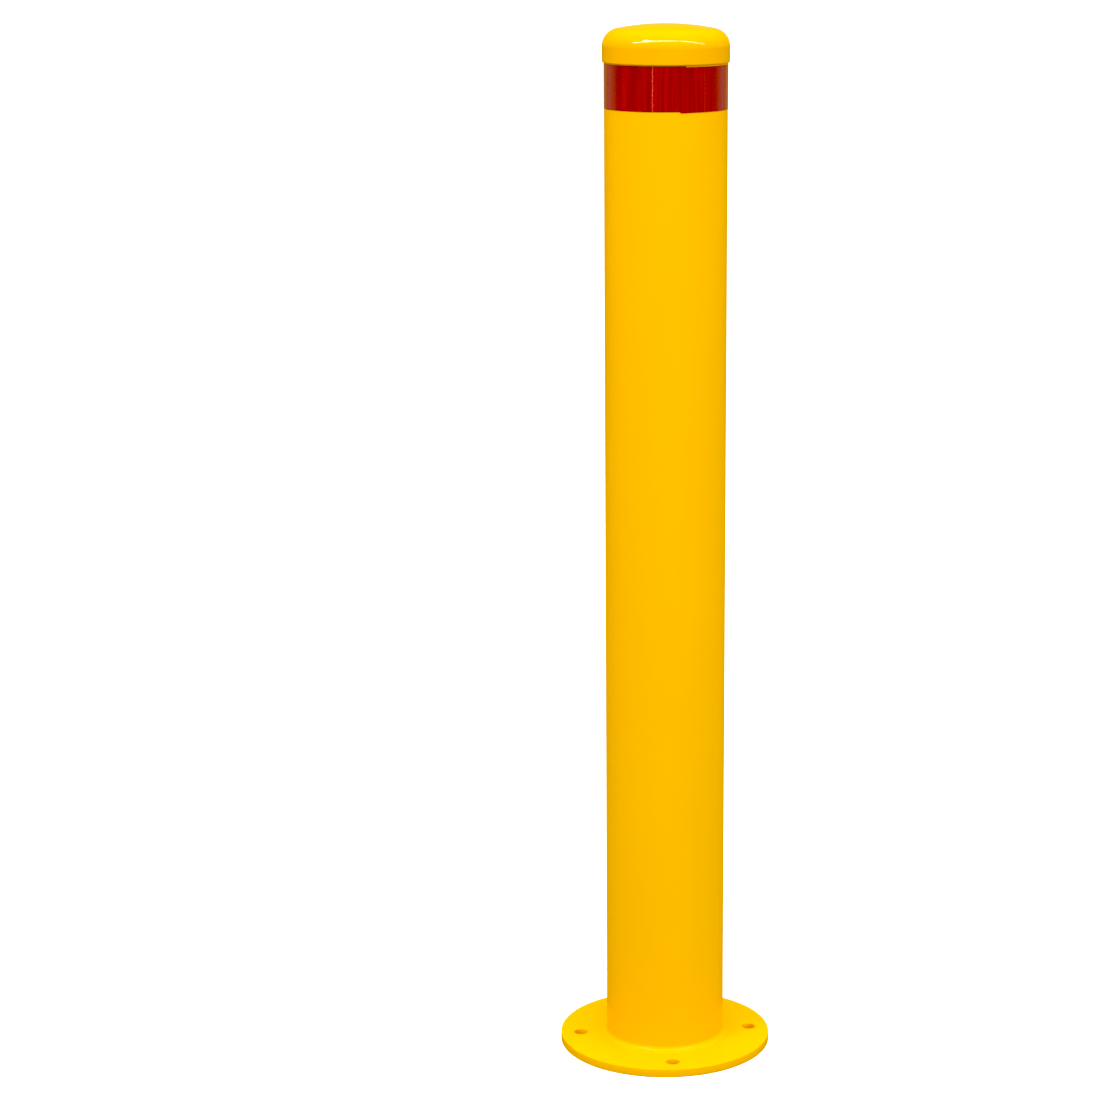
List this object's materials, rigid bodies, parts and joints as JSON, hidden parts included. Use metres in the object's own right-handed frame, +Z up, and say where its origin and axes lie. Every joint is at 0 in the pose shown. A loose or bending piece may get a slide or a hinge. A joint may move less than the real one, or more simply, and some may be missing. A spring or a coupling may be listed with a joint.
{
  "type": "safety bollard",
  "caption": "Round steel safety bollard with a welded base plate, anchor holes, a slip-on domed cap and a reflective tape band.",
  "frame": {"origin": "centre of the base plate's flat underside, on the post's axis", "axes": "+Z up along the post towards the cap; +X and +Y each pass through the centre of one anchor hole"},
  "size_m": [0.25, 0.25, 1.208],
  "materials": {
    "powder_coat": "glossy safety yellow powder coat over welded steel",
    "cap_plastic": "glossy moulded polyethylene in the same yellow",
    "reflective_film": "red prismatic reflective film under a clear glossy face"
  },
  "bodies": {
    "post": {"base_plate": "powder_coat", "post_tube": "powder_coat", "base_weld": "powder_coat", "reflective_tape": "reflective_film"},
    "cap": {"cap": "cap_plastic"}
  },
  "joints": [
    {"name": "cap_lift", "type": "slide", "parent": "post", "child": "cap", "axis": [0, 0, 1], "range_m": [0, 0.15]}
  ]
}
